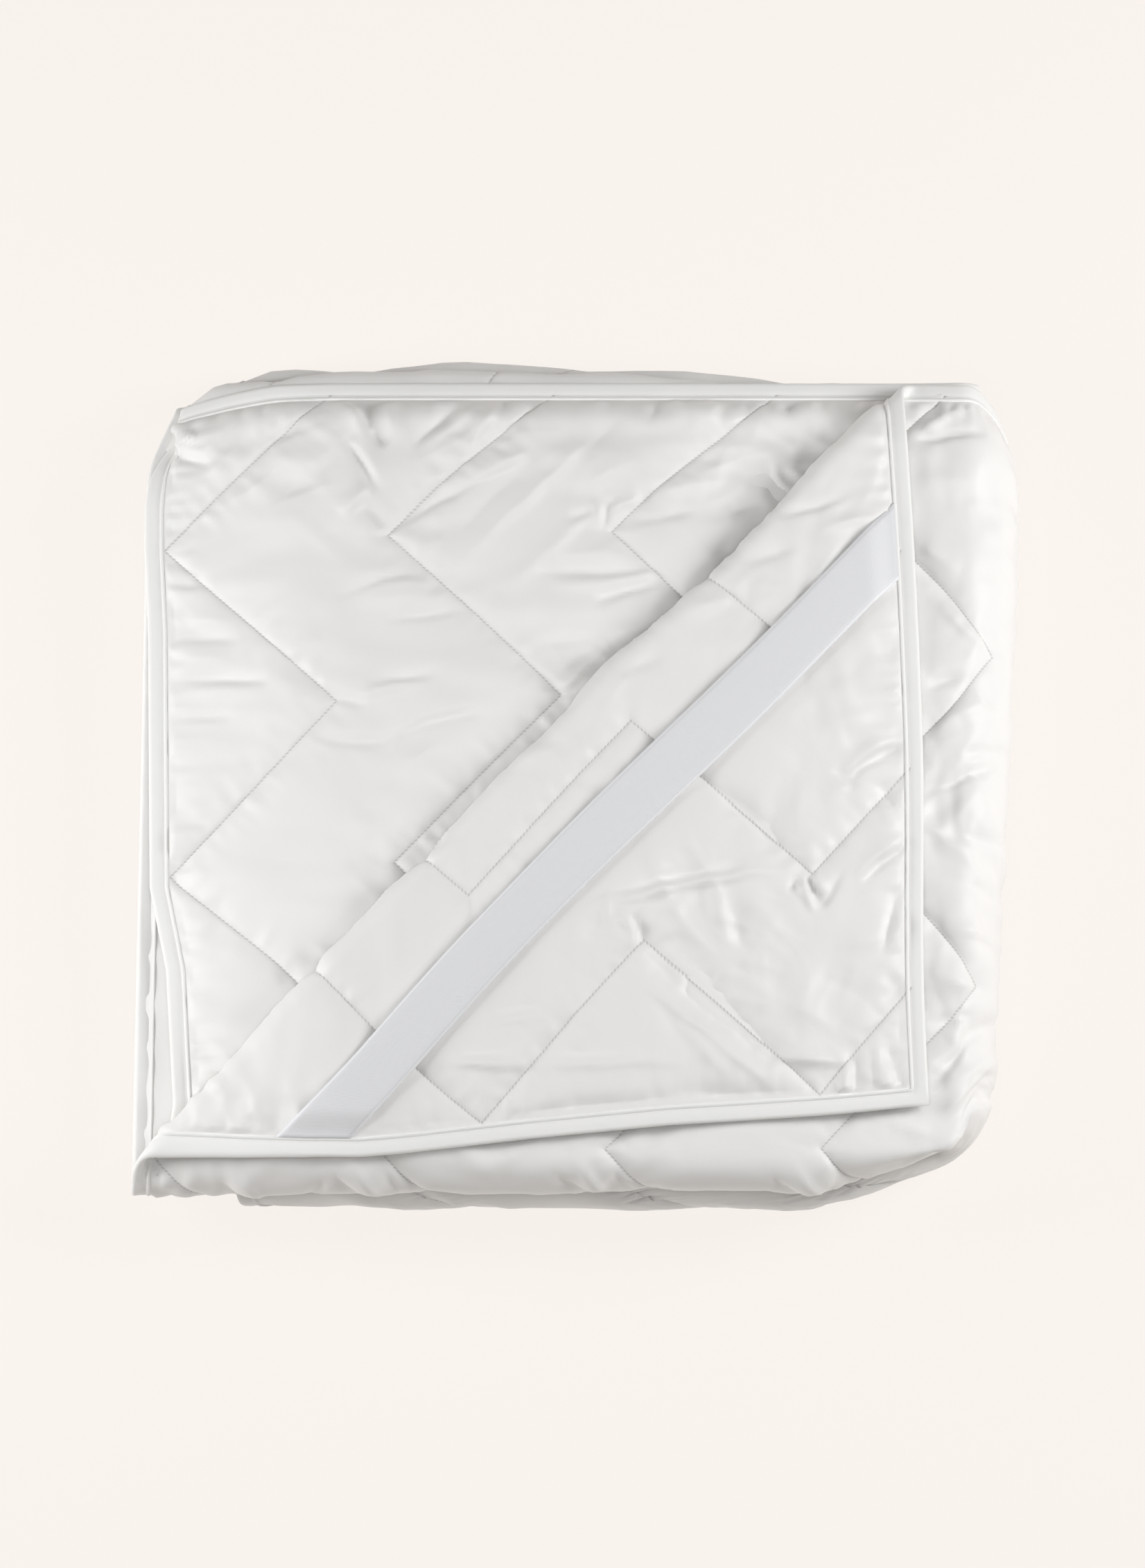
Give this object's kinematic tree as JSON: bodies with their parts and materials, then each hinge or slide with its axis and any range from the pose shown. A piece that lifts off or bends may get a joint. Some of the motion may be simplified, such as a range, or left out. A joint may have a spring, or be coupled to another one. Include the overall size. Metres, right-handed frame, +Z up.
{
  "type": "folded mattress pad",
  "caption": "Quilted cotton mattress pad folded into a square packet, one corner turned back to show its elastic strap.",
  "frame": {"origin": "centre of the packet's outline, on the surface that it lies on", "axes": "+Z up, out of the packet's top; +X towards the long fold, at the right as one faces the front rolls; +Y towards the back edge, away from them"},
  "size_m": [0.494, 0.4788, 0.0932],
  "materials": {
    "quilted_cotton": "white cotton sateen, quilted in chevrons",
    "binding_cotton": "white cotton tape, sewn down",
    "woven_elastic": "pale grey woven elastic, finely ribbed"
  },
  "bodies": {
    "root": {"quilted_pad": "quilted_cotton", "edge_binding": "binding_cotton", "corner_strap": "woven_elastic"}
  },
  "joints": []
}
